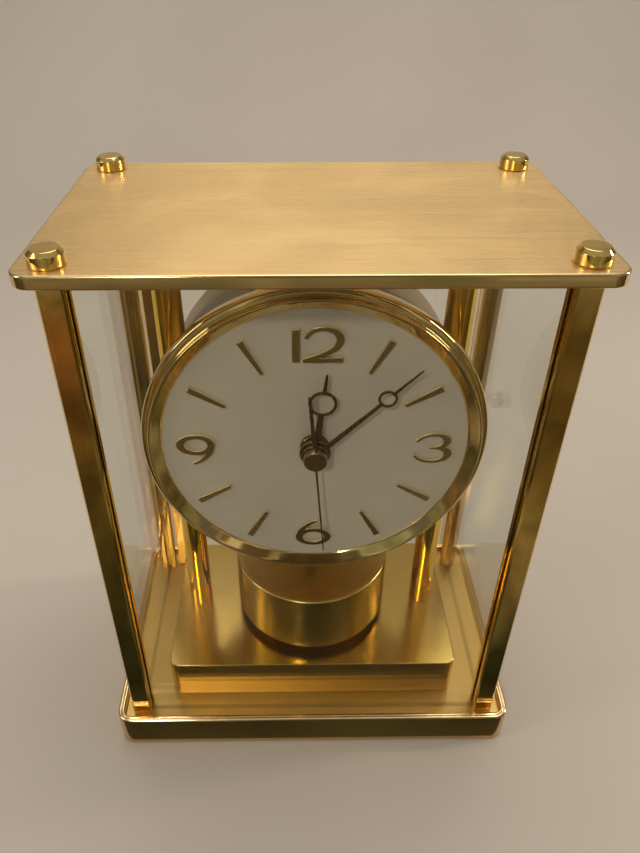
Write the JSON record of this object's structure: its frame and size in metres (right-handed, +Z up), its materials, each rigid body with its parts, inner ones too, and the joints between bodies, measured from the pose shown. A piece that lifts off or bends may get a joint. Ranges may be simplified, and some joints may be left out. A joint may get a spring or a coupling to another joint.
{
  "type": "anniversary clock",
  "caption": "Glazed brass mantel clock with square corner pillars, round dial on twin posts, raised numerals, hinged rear glass and a slowly rotating drum pendulum below the dial.",
  "frame": {"origin": "centre of the underside, on the surface the clock stands on", "axes": "+Z up, the dial faces -Y, +X to the right of a viewer who looks at the dial"},
  "size_m": [0.176, 0.1084, 0.2345],
  "materials": {
    "satin_brass": "fine straight-grained satin brush, lacquered",
    "polished_brass": "mirror polished and lacquered",
    "felt": "short-pile felt face on board",
    "case_glass": "clear, polished edges",
    "housing_enamel": "satin champagne enamel",
    "dial_white": "matte off-white lacquer",
    "hour_mark_gilt": "gilt, brushed face with bright sides",
    "bronze_hand": "dark bronzed",
    "black_plastic": "fine texture",
    "gear_resin": "plain moulded acetal",
    "bright_steel": "bright turned",
    "copper": "enamelled copper winding on a soft iron core",
    "circuit_board": "green solder resist",
    "cell_sleeve": "plain shrink sleeve"
  },
  "bodies": {
    "case": {"base_tray": "satin_brass", "base_felt_board": "felt", "plinth": "satin_brass", "top_plate": "satin_brass", "front_glass": "case_glass", "left_glass": "case_glass", "right_glass": "case_glass", "movement_post_left": "polished_brass", "movement_post_right": "polished_brass", "movement_housing": "housing_enamel", "movement_rear_cover": "housing_enamel", "bezel": "polished_brass", "dial_plate": "dial_white", "movement_centre_nut": "bronze_hand", "movement_front_case": "black_plastic", "movement_rear_case": "black_plastic", "stepper_stator_and_coil": "copper", "circuit_board": "circuit_board", "battery_cell": "cell_sleeve", "battery_tray": "black_plastic", "pendulum_drive_case": "black_plastic", "pendulum_drive_coil": "copper", "corner_pillar_front_left": "polished_brass", "cap_nut_front_left": "polished_brass", "corner_pillar_front_right": "polished_brass", "cap_nut_front_right": "polished_brass", "corner_pillar_rear_left": "polished_brass", "cap_nut_rear_left": "polished_brass", "corner_pillar_rear_right": "polished_brass", "cap_nut_rear_right": "polished_brass", "numeral_12_digit_1": "hour_mark_gilt", "numeral_12_digit_2": "hour_mark_gilt", "numeral_3": "hour_mark_gilt", "numeral_6": "hour_mark_gilt", "numeral_9": "hour_mark_gilt", "hour_baton_01": "hour_mark_gilt", "hour_baton_02": "hour_mark_gilt", "hour_baton_04": "hour_mark_gilt", "hour_baton_05": "hour_mark_gilt", "hour_baton_07": "hour_mark_gilt", "hour_baton_08": "hour_mark_gilt", "hour_baton_10": "hour_mark_gilt", "hour_baton_11": "hour_mark_gilt"},
    "rear_door": {"rear_door_glass": "case_glass", "rear_door_hinge_rail": "polished_brass", "rear_door_pull": "polished_brass"},
    "battery_cover_body": {"battery_cover": "housing_enamel"},
    "pendulum": {"pendulum_drum": "polished_brass", "pendulum_stem": "polished_brass"},
    "minute_shaft": {"minute_hand": "bronze_hand", "minute_wheel_and_pipe": "gear_resin"},
    "motion_shaft": {"motion_wheel": "gear_resin"},
    "hour_shaft": {"hour_hand": "bronze_hand", "hour_wheel_and_pipe": "gear_resin"},
    "setting_shaft": {"setting_knob_and_stem": "black_plastic"},
    "seconds_shaft": {"second_hand": "bronze_hand", "seconds_wheel_and_arbor": "gear_resin"},
    "third_shaft": {"third_wheel": "gear_resin"},
    "intermediate_shaft": {"intermediate_wheel": "gear_resin"},
    "rotor_shaft": {"stepper_rotor": "bright_steel"}
  },
  "joints": [
    {"name": "rear_door_swing", "type": "hinge", "parent": "case", "child": "rear_door", "pos_m": [-0.0706, 0.0449, 0.12], "axis": [0, 0, 1], "range_deg": [0, 95]},
    {"name": "battery_cover_slide", "type": "slide", "parent": "case", "child": "battery_cover_body", "axis": [1, 0, 0], "range_m": [0, 0.03]},
    {"name": "pendulum_twist", "type": "hinge", "parent": "case", "child": "pendulum", "pos_m": [0, 0.0028, 0.06], "axis": [0, 0, 1], "range_deg": [-180, 180]},
    {"name": "minute_turn", "type": "hinge", "parent": "case", "child": "minute_shaft", "pos_m": [0, 0, 0.1445], "axis": [0, 1, 0], "continuous": true},
    {"name": "motion_turn", "type": "hinge", "parent": "case", "child": "motion_shaft", "pos_m": [0, 0, 0.134], "axis": [0, 1, 0], "continuous": true},
    {"name": "hour_turn", "type": "hinge", "parent": "case", "child": "hour_shaft", "pos_m": [0, 0, 0.1445], "axis": [0, 1, 0], "continuous": true},
    {"name": "setting_turn", "type": "hinge", "parent": "case", "child": "setting_shaft", "pos_m": [0, 0, 0.1235], "axis": [0, 1, 0], "continuous": true},
    {"name": "seconds_turn", "type": "hinge", "parent": "case", "child": "seconds_shaft", "pos_m": [0, 0, 0.1445], "axis": [0, 1, 0], "continuous": true},
    {"name": "third_turn", "type": "hinge", "parent": "case", "child": "third_shaft", "pos_m": [-0.0103, 0, 0.1445], "axis": [0, 1, 0], "continuous": true},
    {"name": "intermediate_turn", "type": "hinge", "parent": "case", "child": "intermediate_shaft", "pos_m": [0.0085, 0, 0.1445], "axis": [0, 1, 0], "continuous": true},
    {"name": "rotor_turn", "type": "hinge", "parent": "case", "child": "rotor_shaft", "pos_m": [0.0085, 0, 0.1516], "axis": [0, 1, 0], "continuous": true}
  ],
  "couplings": [
    {"joint": "motion_turn", "follows": "minute_turn", "ratio": -0.33333},
    {"joint": "hour_turn", "follows": "minute_turn", "ratio": 0.083333},
    {"joint": "setting_turn", "follows": "minute_turn", "ratio": 1},
    {"joint": "third_turn", "follows": "seconds_turn", "ratio": -0.13333},
    {"joint": "intermediate_turn", "follows": "seconds_turn", "ratio": -5},
    {"joint": "rotor_turn", "follows": "seconds_turn", "ratio": 30}
  ]
}
